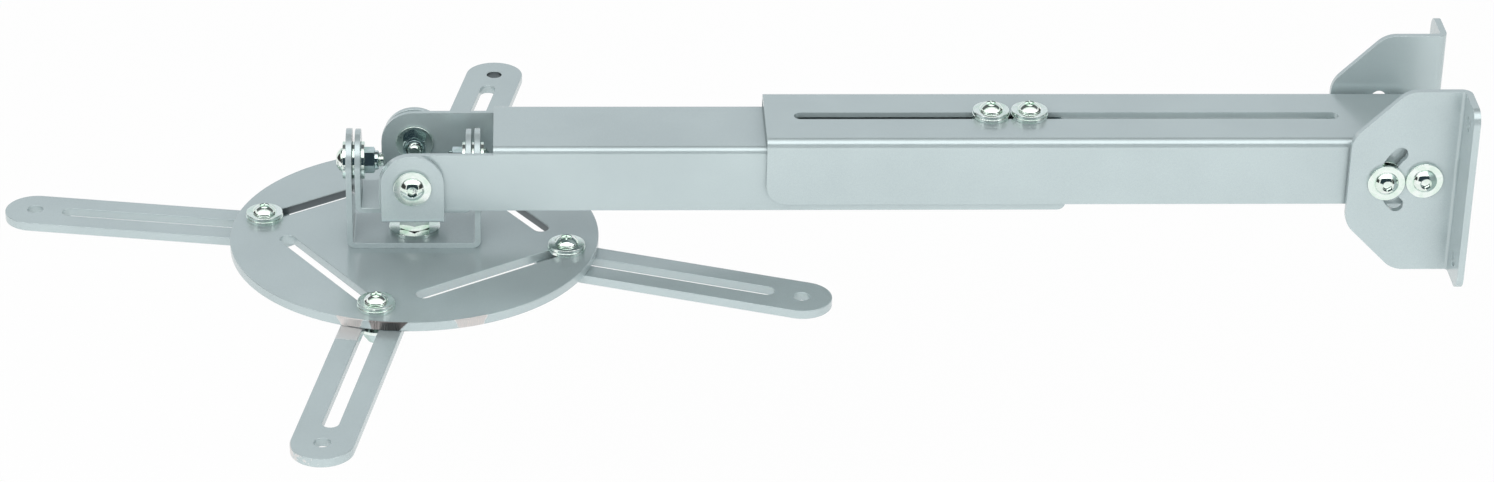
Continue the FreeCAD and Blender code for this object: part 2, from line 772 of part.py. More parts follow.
def slot_fasteners():
    places = [-at["near_screw_x"], -at["far_screw_x"]]
    thick = at["washer_thick"]
    top = at["outer_top"]
    under = at["inner_under"] - thick
    screw = lambda name: button_screw(name, "slot_bolt_length")
    upper = lambda name: washer(name, "spring_washer_dia", "washer_bore", "washer_thick")
    spacer = lambda name: washer(name, "washer_dia", "washer_bore", "web_gap")
    along = lambda level, way: [((x, 0, level), (0, 0, way)) for x in places]
    row("slot_screws", screw, along(top + 2 * thick, 1))
    row("slot_spring_washers", upper, along(top + thick, 1))
    row("slot_washers", flat_washer, along(top, 1))
    row("slot_spacers", spacer, along(at["inner_top"], 1))
    row("slot_nut_washers", flat_washer, along(under, 1))
    row("slot_nuts", nut, along(under, -1))


def gimbal_fasteners():
    pitch = [(-at["pitch_x"], at["pitch_z"])]
    thick = at["washer_thick"]
    wall = at["inner_inside"] - thick
    ear = at["cross_inside"] - thick
    pitch_screw = lambda name: button_screw(name, "pitch_bolt_length")
    roll_screw = lambda name: button_screw(name, "roll_bolt_length")
    gap_washer = lambda name: washer(name, "washer_dia", "washer_bore", "yoke_gap")
    row("pitch_screws", pitch_screw, sideways(pitch, at["cross_y_half"] + thick))
    row("pitch_washers", flat_washer, sideways(pitch, at["cross_y_half"]))
    row("pitch_nut_washers", flat_washer, sideways(pitch, wall))
    row("pitch_nuts", nut, sideways(pitch, wall, inward=True))
    row("roll_screws", roll_screw, endways(at["yoke_half"] + thick))
    row("roll_washers", flat_washer, endways(at["yoke_half"]))
    row("roll_gap_washers", gap_washer, endways(at["cross_half"]))
    row("roll_nut_washers", flat_washer, endways(ear))
    row("roll_nuts", nut, endways(ear, inward=True))


def centre_fasteners():
    """The large bolt that holds the yoke on the disc, with its head below."""
    x = -at["pitch_x"]
    seat = at["disc_bottom"] - at["centre_washer_thick"]
    floor = at["yoke_floor"]
    shank = cylinder("centre_shank", "centre_bolt_dia / 2", "centre_bolt_length", "-centre_bolt_length")
    head = hexagon("centre_head", "centre_nut_flats", "centre_head_high")
    bolt = placed(fuse("centre_bolt", [head, shank]), (x, 0, seat), (0, 0, -1))
    keep(bolt, "centre_bolt")
    for label, dia, level in (("centre_washer", "centre_washer_dia", floor),
                              ("centre_lower_washer", "centre_lower_dia", seat)):
        ring = washer(label, dia, "centre_washer_bore", "centre_washer_thick")
        keep(placed(ring, (x, 0, level), (0, 0, 1)), label)
    bore = cylinder("centre_nut_bore", "centre_bolt_dia / 2 + thread_gap", "centre_nut_high")
    top = cut("centre_nut", hexagon("centre_nut_solid", "centre_nut_flats", "centre_nut_high"), bore)
    top.Placement = Placement(Vector(x, 0, floor + at["centre_washer_thick"]),
                              Rotation(Vector(0, 0, 1), 30))
    keep(top, "centre_nut")


def arm_fasteners(side):
    spot = screw_spot(side)
    thick = at["washer_thick"]
    top = at["yoke_bottom"]
    under = at["arm_bottom"] - thick
    upper = washer("arm_spring_washer_" + side, "spring_washer_dia", "washer_bore", "washer_thick")
    stack = [
        ("arm_screw_", button_screw("arm_screw_" + side, "arm_bolt_length"), top + 2 * thick, 1),
        ("arm_spring_washer_", upper, top + thick, 1),
        ("arm_washer_", flat_washer("arm_washer_" + side), top, 1),
        ("arm_nut_washer_", flat_washer("arm_nut_washer_" + side), under, 1),
        ("arm_nut_", nut("arm_nut_" + side), under, -1)]
    for label, piece, level, way in stack:
        keep(placed(piece, (spot.x, spot.y, level), (0, 0, way)), label + side)


def check_pieces():
    """Stop before anything is written if an object failed or a sub-part has no sound solid."""
    for item in doc.Objects:
        if {"Invalid", "Error"} & set(item.State):
            raise RuntimeError("%s failed: %s" % (item.Name, item.State))
    for piece in KEPT:
        shape = piece.Shape
        if shape.isNull() or not shape.isValid() or shape.Volume <= 0:
            raise RuntimeError(piece.Label + " has no sound solid")


def main():
    wall_brackets()
    outer_channel()
    inner_channel()
    gimbal_cross()
    lower_yoke()
    slotted_disc()
    for side in ARM_SLOT:
        slotted_arm(side)
        arm_fasteners(side)
    tilt_fasteners()
    slot_fasteners()
    gimbal_fasteners()
    centre_fasteners()
    doc.recompute()
    check_pieces()
    os.makedirs("parts", exist_ok=True)
    for piece in KEPT:
        piece.Shape.exportStep("parts/%s.step" % piece.Label)
    print("%d sub-parts" % len(KEPT))


main()
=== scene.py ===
import json
import math

import bmesh
import bpy
from mathutils import Matrix, Vector


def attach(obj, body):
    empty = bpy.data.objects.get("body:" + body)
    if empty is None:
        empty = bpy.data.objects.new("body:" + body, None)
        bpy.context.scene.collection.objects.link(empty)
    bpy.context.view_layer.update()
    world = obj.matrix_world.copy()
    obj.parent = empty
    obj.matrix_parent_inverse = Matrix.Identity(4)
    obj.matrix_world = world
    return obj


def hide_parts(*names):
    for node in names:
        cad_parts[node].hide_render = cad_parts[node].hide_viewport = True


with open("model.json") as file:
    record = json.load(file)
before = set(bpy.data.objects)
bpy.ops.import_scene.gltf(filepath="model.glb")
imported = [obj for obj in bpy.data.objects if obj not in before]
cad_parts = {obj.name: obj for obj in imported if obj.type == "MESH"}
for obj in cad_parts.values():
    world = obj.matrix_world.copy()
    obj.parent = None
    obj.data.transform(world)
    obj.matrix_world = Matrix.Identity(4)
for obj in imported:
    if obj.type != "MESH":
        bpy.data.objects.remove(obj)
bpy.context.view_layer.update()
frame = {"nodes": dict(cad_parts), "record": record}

MM = 0.001
record = frame["record"]
BODY_OF = {node: body for body, nodes in record["behaviour"]["bodies"].items() for node in nodes}
SIDES = ("left", "front", "right", "back")


# Camera, solved from the channels, the disc and the gimbal in the photograph

CAMERA_PLACE = Vector((-0.40803, -1.69785, 0.86344))
CAMERA_YAW = math.radians(3.263)
CAMERA_DROP = math.radians(28.098)
CAMERA_ROLL = math.radians(1.413)
FOCAL_PIXELS = 4335.6
IMAGE_WIDTH = 1494
SENSOR_WIDTH = 36.0
CAMERA_NEAR = 0.05
CAMERA_FAR = 30


def make_camera():
    forward = Vector((math.sin(CAMERA_YAW) * math.cos(CAMERA_DROP),
                      math.cos(CAMERA_YAW) * math.cos(CAMERA_DROP),
                      -math.sin(CAMERA_DROP)))
    level = Vector((math.cos(CAMERA_YAW), -math.sin(CAMERA_YAW), 0))
    upright = level.cross(forward)
    right = level * math.cos(CAMERA_ROLL) + upright * math.sin(CAMERA_ROLL)
    up = upright * math.cos(CAMERA_ROLL) - level * math.sin(CAMERA_ROLL)
    data = bpy.data.cameras.new("camera")
    data.lens = SENSOR_WIDTH * FOCAL_PIXELS / IMAGE_WIDTH
    data.sensor_width = SENSOR_WIDTH
    data.clip_start = CAMERA_NEAR
    data.clip_end = CAMERA_FAR
    camera = bpy.data.objects.new("camera", data)
    bpy.context.collection.objects.link(camera)
    turn = Matrix((right, up, -forward)).transposed()
    camera.matrix_world = Matrix.Translation(CAMERA_PLACE) @ turn.to_4x4()
    bpy.context.scene.camera = camera


# Materials

class Surface:
    """A principled material with short calls for its texture nodes."""

    def __init__(self, name):
        self.material = bpy.data.materials.new(name)
        self.material.use_nodes = True
        self.nodes = self.material.node_tree.nodes
        self.links = self.material.node_tree.links
        self.shader = self.nodes["Principled BSDF"]
        self.place = self.add("ShaderNodeTexCoord").outputs["Object"]

    def add(self, kind, **settings):
        node = self.nodes.new(kind)
        for name, value in settings.items():
            setattr(node, name, value)
        return node

    def noise(self, size, detail=2.0, rough=0.5, warp=0.0):
        """Noise whose grains are about size metres across."""
        node = self.add("ShaderNodeTexNoise")
        self.links.new(self.place, node.inputs["Vector"])
        node.inputs["Scale"].default_value = 1.0 / size
        node.inputs["Detail"].default_value = detail
        node.inputs["Roughness"].default_value = rough
        node.inputs["Distortion"].default_value = warp
        return node.outputs["Fac"]

    def math(self, work, a, b=0.0, c=0.0):
        node = self.add("ShaderNodeMath", operation=work)
        for socket, value in zip(node.inputs, (a, b, c)):
            if isinstance(value, (int, float)):
                socket.default_value = value
            else:
                self.links.new(value, socket)
        return node.outputs[0]

    def ramp(self, source, low, high, start, end):
        """source from low to high becomes start to end, and stays there outside."""
        node = self.add("ShaderNodeMapRange")
        self.links.new(source, node.inputs["Value"])
        ends = {"From Min": low, "From Max": high, "To Min": start, "To Max": end}
        for name, value in ends.items():
            node.inputs[name].default_value = value
        return node.outputs["Result"]

    def blend(self, share, first, second):
        node = self.add("ShaderNodeMix", data_type="RGBA")
        sockets = [item for item in node.inputs if item.enabled]
        for socket, value in zip(sockets, (share, first, second)):
            if isinstance(value, (int, float)):
                socket.default_value = value
            elif isinstance(value, tuple):
                socket.default_value = (*value, 1.0)
            else:
                self.links.new(value, socket)
        return [item for item in node.outputs if item.enabled][0]

    def bump(self, height, strength, depth, under=None):
        node = self.add("ShaderNodeBump")
        node.inputs["Strength"].default_value = strength
        node.inputs["Distance"].default_value = depth
        self.links.new(height, node.inputs["Height"])
        if under is not None:
            self.links.new(under, node.inputs["Normal"])
        return node.outputs["Normal"]

    def split(self, centre=(0.0, 0.0, 0.0), turn=0.0):
        """x, y and z of the place, from a centre and turned about Z."""
        shift = self.add("ShaderNodeVectorMath", operation="SUBTRACT")
        self.links.new(self.place, shift.inputs[0])
        shift.inputs[1].default_value = centre
        spin = self.add("ShaderNodeVectorRotate", rotation_type="Z_AXIS")
        self.links.new(shift.outputs[0], spin.inputs["Vector"])
        spin.inputs["Angle"].default_value = -turn
        parts = self.add("ShaderNodeSeparateXYZ")
        self.links.new(spin.outputs[0], parts.inputs[0])
        return parts.outputs["X"], parts.outputs["Y"], parts.outputs["Z"]

    def between(self, value, low, high, soft):
        """1 where value lies between low and high, with soft ends."""
        rise = self.ramp(value, low - soft, low + soft, 0.0, 1.0)
        fall = self.ramp(value, high - soft, high + soft, 1.0, 0.0)
        return self.math("MULTIPLY", rise, fall)


COAT = (0.470, 0.552, 0.562)
COAT_DARK = (0.438, 0.516, 0.527)
COAT_FLAKE = (0.60, 0.68, 0.68)
BARE_PALE = (0.820, 0.770, 0.745)
BARE_BAND = (0.830, 0.810, 0.800)
BARE_DARK = (0.085, 0.078, 0.077)
# Painted shade: a dark colour laid on slot walls, the rim's lower edge and a bore, standing in for
# shadow
PAINTED_SHADE = (0.135, 0.160, 0.170)

# Grain sizes in metres; roughness and metal from low to high; bumps as strength and depth in metres
CLOUD_SIZE = 0.045
FLAKE_SIZE = 0.00022
PEEL_SIZE = 0.0011
FLAKE_SHARE = 0.22
COAT_ROUGH = (0.22, 0.27)
COAT_METAL = (0.34, 0.44)
PEEL_BUMP = (0.12, 0.00001)
FLAKE_BUMP = (0.06, 0.000003)
CLEAR_COAT = 0.35
CLEAR_ROUGH = 0.08


def powder_coat(name, wear_and_shade=None):
    """Silver powder coat: fine orange peel, metal flakes and a slight drift of tone.

    wear_and_shade, if given, gets the surface and returns a (mask, colour, roughness) for each
    place
    where it differs: worn places, and painted shade where shadow falls."""
    surface = Surface(name)
    cloud = surface.noise(CLOUD_SIZE, detail=3.0)
    flake = surface.noise(FLAKE_SIZE, detail=1.0)
    grain = surface.noise(PEEL_SIZE, detail=3.0, rough=0.6)
    tone = surface.blend(surface.ramp(cloud, 0.35, 0.65, 0.0, 1.0), COAT_DARK, COAT)
    tone = surface.blend(surface.ramp(flake, 0.58, 0.80, 0.0, FLAKE_SHARE), tone, COAT_FLAKE)
    rough = surface.ramp(grain, 0.3, 0.7, *COAT_ROUGH)
    metal = surface.ramp(flake, 0.4, 0.7, *COAT_METAL)
    if wear_and_shade:
        for mask, colour, gloss in wear_and_shade(surface):
            tone = surface.blend(mask, tone, colour)
            kept = surface.math("MULTIPLY", rough, surface.math("SUBTRACT", 1.0, mask))
            rough = surface.math("ADD", kept, surface.math("MULTIPLY", mask, gloss))
            metal = surface.math("MAXIMUM", metal, mask)
    surface.links.new(tone, surface.shader.inputs["Base Color"])
    surface.links.new(rough, surface.shader.inputs["Roughness"])
    surface.links.new(metal, surface.shader.inputs["Metallic"])
    peel = surface.bump(grain, *PEEL_BUMP)
    normal = surface.bump(flake, *FLAKE_BUMP, under=peel)
    surface.links.new(normal, surface.shader.inputs["Normal"])
    surface.shader.inputs["Coat Weight"].default_value = CLEAR_COAT
    surface.shader.inputs["Coat Roughness"].default_value = CLEAR_ROUGH
    return surface.material


FILM_SIZE = 0.0045
HAZE_SIZE = 0.0007
HAZE_BUMP = (0.05, 0.000005)


def bright_zinc(name, colour, tint, rough):
    """Bright zinc plating with a faint green passivation film."""
    surface = Surface(name)
    film = surface.noise(FILM_SIZE, detail=2.0, warp=0.6)
    haze = surface.noise(HAZE_SIZE, detail=3.0)
    tone = surface.blend(surface.ramp(film, 0.35, 0.68, 0.0, 1.0), colour, tint)
    surface.links.new(tone, surface.shader.inputs["Base Color"])
    surface.links.new(surface.ramp(haze, 0.3, 0.7, rough * 0.8, rough * 1.3),
                      surface.shader.inputs["Roughness"])
    surface.shader.inputs["Metallic"].default_value = 1.0
    surface.links.new(surface.bump(haze, *HAZE_BUMP), surface.shader.inputs["Normal"])
    return surface.material


# Pieces: small calls that shape a bmesh and turn it into a piece of the object

def new_piece(bm, name, node, material, smooth_angle=32.0):
    """A finished bmesh becomes a piece that stands for a CAD node and rides on its body."""
    mesh = bpy.data.meshes.new(name)
    for face in bm.faces:
        face.smooth = True
    bm.to_mesh(mesh)
    bm.free()
    mesh.set_sharp_from_angle(angle=math.radians(smooth_angle))
    mesh.materials.append(material)
    piece = bpy.data.objects.new(name, mesh)
    bpy.context.collection.objects.link(piece)
    flats = piece.modifiers.new("flat_faces_shade_flat", "WEIGHTED_NORMAL")
    flats.keep_sharp = True
    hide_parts(node)
    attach(piece, BODY_OF[node])


def cad_copy(node):
    """The merged mesh of a CAD node."""
    bm = bmesh.new()
    bm.from_mesh(frame["nodes"][node].data)
    bmesh.ops.remove_doubles(bm, verts=bm.verts, dist=1e-6)
    return bm


def solids(node):
    """The (lowest, highest) corners of each separate solid of a node."""
    bm = cad_copy(node)
    left = set(bm.verts)
    found = []
    while left:
        front = [left.pop()]
        group = list(front)
        while front:
            vert = front.pop()
            for edge in vert.link_edges:
                other = edge.other_vert(vert)
                if other in left:
                    left.remove(other)
                    front.append(other)
                    group.append(other)
        low = Vector([min(vert.co[axis] for vert in group) for axis in range(3)])
        high = Vector([max(vert.co[axis] for vert in group) for axis in range(3)])
        found.append((low, high))
    bm.free()
    return sorted(found, key=lambda box: tuple(round(value, 5) for value in box[0]))


EDGE_ANGLE = math.radians(38)
FLAT_ANGLE = math.radians(0.4)
COAT_EDGE = 0.35 * MM
COAT_SMOOTH = 40


def coated_sheet(node, material):
    """A sheet part with the CAD node's shape and its cut edges rounded by the coat."""
    bm = cad_copy(node)
    bmesh.ops.dissolve_limit(bm, angle_limit=FLAT_ANGLE, verts=bm.verts, edges=bm.edges)
    sharp = [item for item in bm.edges
             if item.is_manifold and item.calc_face_angle(0) > EDGE_ANGLE]
    bmesh.ops.bevel(bm, geom=sharp, offset=COAT_EDGE, affect="EDGES", segments=3, profile=0.5,
                    clamp_overlap=True, material=-1)
    new_piece(bm, node + "_coated", node, material, smooth_angle=COAT_SMOOTH)


def lathe(bm, points, steps=48):
    """A closed profile of (radius, height) pairs in millimetres, spun about Z."""
    verts = [bm.verts.new((radius * MM, 0, height * MM)) for radius, height in points]
    edges = [bm.edges.new(pair) for pair in zip(verts, verts[1:])]
    bmesh.ops.spin(bm, geom=verts + edges, cent=(0, 0, 0), axis=(0, 0, 1), angle=2 * math.pi,
                   steps=steps, use_merge=True)
    bmesh.ops.remove_doubles(bm, verts=bm.verts, dist=1e-7)


def stand(bm, spot, way):
    """Move a shape made about Z so that its seat is at spot and its top points along way."""
    tip = Vector((0, 0, 1)).rotation_difference(Vector(way)).to_matrix().to_4x4()
    bmesh.ops.transform(bm, matrix=Matrix.Translation(spot) @ tip, verts=bm.verts)


def merge(target, part):
    """Add one bmesh to another and free it."""
    mesh = bpy.data.meshes.new("part")
    part.to_mesh(mesh)
    part.free()
    target.from_mesh(mesh)
    bpy.data.meshes.remove(mesh)


def closed(bm):
    """Doubles joined and every face turned outwards."""
    bmesh.ops.remove_doubles(bm, verts=bm.verts, dist=1e-7)
    bmesh.ops.recalc_face_normals(bm, faces=bm.faces)
    return bm


WASHER_STEPS = 56
WASHER_EDGE = 0.25


def washer_shape(outer, bore, thick):
    """A flat ring with rounded edges."""
    edge = WASHER_EDGE
    bm = bmesh.new()
    points = []
    for radius, height, first in ((bore + edge, edge, 270), (bore + edge, thick - edge, 180),
                                  (outer - edge, thick - edge, 90), (outer - edge, edge, 0)):
        for turned in (0, 30, 60, 90):
            angle = math.radians(first - turned)
            points.append((radius + edge * math.cos(angle), height + edge * math.sin(angle)))
    points.append(points[0])
    lathe(bm, points, steps=WASHER_STEPS)
    return closed(bm)


THREAD_STEPS = 24
THREAD_DEPTH = 0.54
# One tooth of the thread, as shares of the pitch and whether the point is on the crest
THREAD_TOOTH = ((0.40, True), (0.52, True), (0.92, False), (1.0, False))
CORE_CHAMFER = 0.35
CORE_COVER = 0.02
CORE_IN_HEAD = 0.3


def thread_shape(radius, pitch, start, end):
    """A threaded shank from start down to end: a toothed line swept once round as a screw.

    Its ends are filled, and its core reaches a little way into the head."""
    bm = bmesh.new()
    root = radius - THREAD_DEPTH * pitch
    count = int(round((start - end) / pitch)) - 1
    height = end + 0.5 * pitch
    verts = [bm.verts.new((root * MM, 0, height * MM))]
    for tooth in range(count):
        base = height + tooth * pitch
        for share, crest in THREAD_TOOTH:
            out = radius if crest else root
            verts.append(bm.verts.new((out * MM, 0, (base + share * pitch) * MM)))
    edges = [bm.edges.new(pair) for pair in zip(verts, verts[1:])]
    bmesh.ops.spin(bm, geom=verts + edges, cent=(0, 0, 0), axis=(0, 0, 1),
                   dvec=(0, 0, pitch * MM / THREAD_STEPS), angle=2 * math.pi, steps=THREAD_STEPS)
    bmesh.ops.remove_doubles(bm, verts=bm.verts, dist=1e-6)
    rims = [edge for edge in bm.edges if edge.is_boundary]
    ends = bmesh.ops.holes_fill(bm, edges=rims, sides=0)["faces"]
    bmesh.ops.poke(bm, faces=ends)
    closed(bm)
    core = bmesh.new()
    side = root + CORE_COVER
    top = start + CORE_IN_HEAD
    lathe(core, [(0, end), (root - CORE_CHAMFER, end), (side, end + CORE_CHAMFER), (side, top),
                 (0, top)], steps=THREAD_STEPS)
    merge(bm, closed(core))
    return bm


SOCKET_EASE = 0.18
SOCKET_CONE = 0.5
SOCKET_CUTS = 7


def hex_socket(bm, width, top, depth):
    """A hexagon hole under a narrow chamfer, joined to the open loop of a head at height top."""
    made = bmesh.ops.create_circle(bm, cap_ends=False, segments=6, radius=width / math.sqrt(3) * MM)
    loop = made["verts"]
    bmesh.ops.translate(bm, vec=(0, 0, (top - SOCKET_EASE) * MM), verts=loop)
    sides = [edge for edge in bm.edges if edge.verts[0] in loop and edge.verts[1] in loop]
    bmesh.ops.subdivide_edges(bm, edges=sides, cuts=SOCKET_CUTS)
    level = (top - SOCKET_EASE) * MM
    hexagon = [edge for edge in bm.edges
               if edge.is_wire and all(abs(vert.co.z - level) < 1e-7 for vert in edge.verts)]
    rim = [edge for edge in bm.edges
           if edge.is_boundary and all(abs(vert.co.z - top * MM) < 1e-7 for vert in edge.verts)]
    bmesh.ops.bridge_loops(bm, edges=rim + hexagon)
    walls = bmesh.ops.extrude_edge_only(bm, edges=hexagon)["geom"]
    lower = [item for item in walls if isinstance(item, bmesh.types.BMVert)]
    bmesh.ops.translate(bm, vec=(0, 0, -(depth - SOCKET_EASE) * MM), verts=lower)
    floor = [edge for edge in bm.edges if edge.is_boundary and edge.verts[0] in lower]
    face = bmesh.ops.contextual_create(bm, geom=floor)["faces"]
    middle = bmesh.ops.poke(bm, faces=face)["verts"]
    bmesh.ops.translate(bm, vec=(0, 0, -SOCKET_CONE * MM), verts=middle)


# Radii, pitches and head sizes of the screws, in millimetres
M6 = 3.0
M6_PITCH = 1.0
M8 = 4.0
M8_PITCH = 1.25
HEAD_RADIUS = 5.25
HEAD_RIM = 0.6
HEAD_BALL = 6.45
HEAD_HIGH = 3.3
SOLID_HEAD_HIGH = 2.98
SOCKET_FLATS = 4.0
SOCKET_DEEP = 1.7
SOCKET_RIM = 2.5
DOME_STEPS = 12
HEAD_STEPS = 64


def button_head():
    """A domed head with a thin upright rim and a hexagon socket in its crown."""
    bm = bmesh.new()
    points = [(0.0, 0.0), (HEAD_RADIUS - 0.22, 0.0), (HEAD_RADIUS - 0.06, 0.06),
              (HEAD_RADIUS, 0.2), (HEAD_RADIUS, HEAD_RIM - 0.12)]
    start = math.asin((HEAD_RADIUS - 0.05) / HEAD_BALL)
    end = math.asin(SOCKET_RIM / HEAD_BALL)
    for step in range(DOME_STEPS + 1):
        angle = start + (end - start) * step / DOME_STEPS
        points.append((HEAD_BALL * math.sin(angle),
                       HEAD_HIGH - HEAD_BALL + HEAD_BALL * math.cos(angle)))
    lathe(bm, points, steps=HEAD_STEPS)
    hex_socket(bm, SOCKET_FLATS, points[-1][1], SOCKET_DEEP)
    return closed(bm)


def button_screw(length):
    """A domed head with a threaded shank below it."""
    bm = button_head()
    merge(bm, thread_shape(M6, M6_PITCH, 0.0, -length))
    return bm


def hexagon_block(flats, high, chamfer_bottom=False):
    """A hexagon prism whose corners are turned off by a cone, as a nut's are."""
    bm = bmesh.new()
    corner = flats / math.sqrt(3)
    bmesh.ops.create_circle(bm, cap_ends=True, segments=6, radius=corner * MM)
    grown = bmesh.ops.extrude_face_region(bm, geom=bm.faces[:])["geom"]
    upper = [item for item in grown if isinstance(item, bmesh.types.BMVert)]
    bmesh.ops.translate(bm, vec=(0, 0, high * MM), verts=upper)
    bmesh.ops.recalc_face_normals(bm, faces=bm.faces)
    turn_off_corners(bm, flats, high, 1)
    if chamfer_bottom:
        turn_off_corners(bm, flats, 0.0, -1)
    return bm


CONE_CUTS = 36
CONE_SLOPE = math.radians(28)
CONE_SHARE = 0.965


def turn_off_corners(bm, flats, level, sign):
    """Cut the corners back with planes laid round a cone that touches the flats near one end."""
    radius = flats / 2 * CONE_SHARE * MM
    for step in range(CONE_CUTS):
        angle = 2 * math.pi * (step + 0.5) / CONE_CUTS
        out = Vector((math.cos(angle), math.sin(angle), 0))
        place = out * radius + Vector((0, 0, level * MM))
        normal = out * math.sin(CONE_SLOPE) + Vector((0, 0, sign * math.cos(CONE_SLOPE)))
        cut = bmesh.ops.bisect_plane(bm, geom=bm.verts[:] + bm.edges[:] + bm.faces[:],
                                     plane_co=place, plane_no=normal, clear_outer=True, dist=1e-8)
        rim = [item for item in cut["geom_cut"] if isinstance(item, bmesh.types.BMEdge)]
        if rim:
            bmesh.ops.holes_fill(bm, edges=rim, sides=0)


NUT_FLATS = 10.0
NUT_HIGH = 4.5
COLLAR_RADIUS = 4.3
COLLAR_HIGH = 1.5
COLLAR_SUNK = 0.2
COLLAR_GAP = 0.05


def lock_nut():
    """A hexagon nut with turned-off corners and a rounded locking collar, seated at zero."""
    bm = hexagon_block(NUT_FLATS, NUT_HIGH)
    collar = bmesh.new()
    bore = M6 + COLLAR_GAP
    foot = NUT_HIGH - COLLAR_SUNK
    top = NUT_HIGH + COLLAR_HIGH
    lathe(collar, [(bore, foot), (COLLAR_RADIUS, foot), (COLLAR_RADIUS, top - 0.6),
                   (COLLAR_RADIUS - 0.12, top - 0.25), (COLLAR_RADIUS - 0.5, top), (M6 + 0.55, top),
                   (M6 + 0.25, top - 0.2), (bore, foot)])
    merge(bm, closed(collar))
    return bm


def plain_nut(flats, high):
    """A full hexagon nut, turned off at both ends."""
    return hexagon_block(flats, high, chamfer_bottom=True)


def hex_bolt(flats, head_high, length):
    """A hexagon head with a threaded shank below it."""
    bm = hexagon_block(flats, head_high)
    merge(bm, thread_shape(M8, M8_PITCH, 0.0, -length))
    return bm


def node_set(node, shape, material, heads):
    """Put one shape on every solid of a node. heads says which way the shape's top points."""
    boxes = solids(node)
    middle = sum((low + high for low, high in boxes), Vector()) / (2 * len(boxes))
    whole = bmesh.new()
    for low, high in boxes:
        centre = (low + high) / 2
        way = heads(centre, middle)
        half = abs((high - low).dot(way)) / 2
        part = shape(2 * half / MM)
        stand(part, centre - way * half, way)
        merge(whole, part)
    new_piece(whole, node + "_made", node, material)


# Worn places, where the coat is gone, and painted shade on walls and edges that lie in shadow

DISC_CENTRE = (-0.4585, 0.0, -0.0403)
DISC_RIM = 0.0807
DISC_THICK = 0.0042
FRONT_TIP = (-0.4923, -0.1739, -0.0445)
FRONT_TURN = math.radians(80.0)

# Lengths here are in metres. Angles are in degrees, and the soft width of a patch's end and the
# stretch of the brushed lines are for angles in radians.
# Each patch: start and end angle, how far each end leans down the rim, tone and roughness
RIM_PATCHES = (
    (-113.1, -104.4, 1.9, -1.3, "pale", 0.42),
    (-102.8, -90.9, 1.1, -2.8, "dark", 0.35),
    (-76.7, -66.2, 1.5, -1.4, "pale", 0.45),
)
PALER_PART = (-99.0, -96.5)
PALER_SHARE = (0.55, 0.15)
PALE_BRUSHED = 0.35
RIM_SOFT = 0.0001
PATCH_SOFT = 0.004
BRUSH_ALONG = 260.0
BRUSH_ACROSS = 90.0
RAGGED_SIZE = 0.002
# Where the painted shade goes: the rear slot walls inside the rim and the rim's lower edge over the
# front arm
WALL_HEIGHTS = (-0.0038, -0.0004)
REAR_HALF = (0.004, 0.006)
OVER_FRONT_ARM = (-109.5, -91.0)
WALL_DEPTH = (0.0020, 0.0015)
LOWER_EDGE = (0.0003, 0.0005)
WALL_ROUGH = 0.5


def ragged_edge(surface, spread):
    """A small shift to and fro that makes a worn edge uneven."""
    grain = surface.noise(RAGGED_SIZE, detail=3.0)
    return surface.math("MULTIPLY", surface.math("SUBTRACT", grain, 0.5), spread)


def far_from(surface, first, second):
    """The distance from the centre that two of the place's parts are measured from."""
    return surface.math("SQRT", surface.math("ADD", surface.math("MULTIPLY", first, first),
                                             surface.math("MULTIPLY", second, second)))


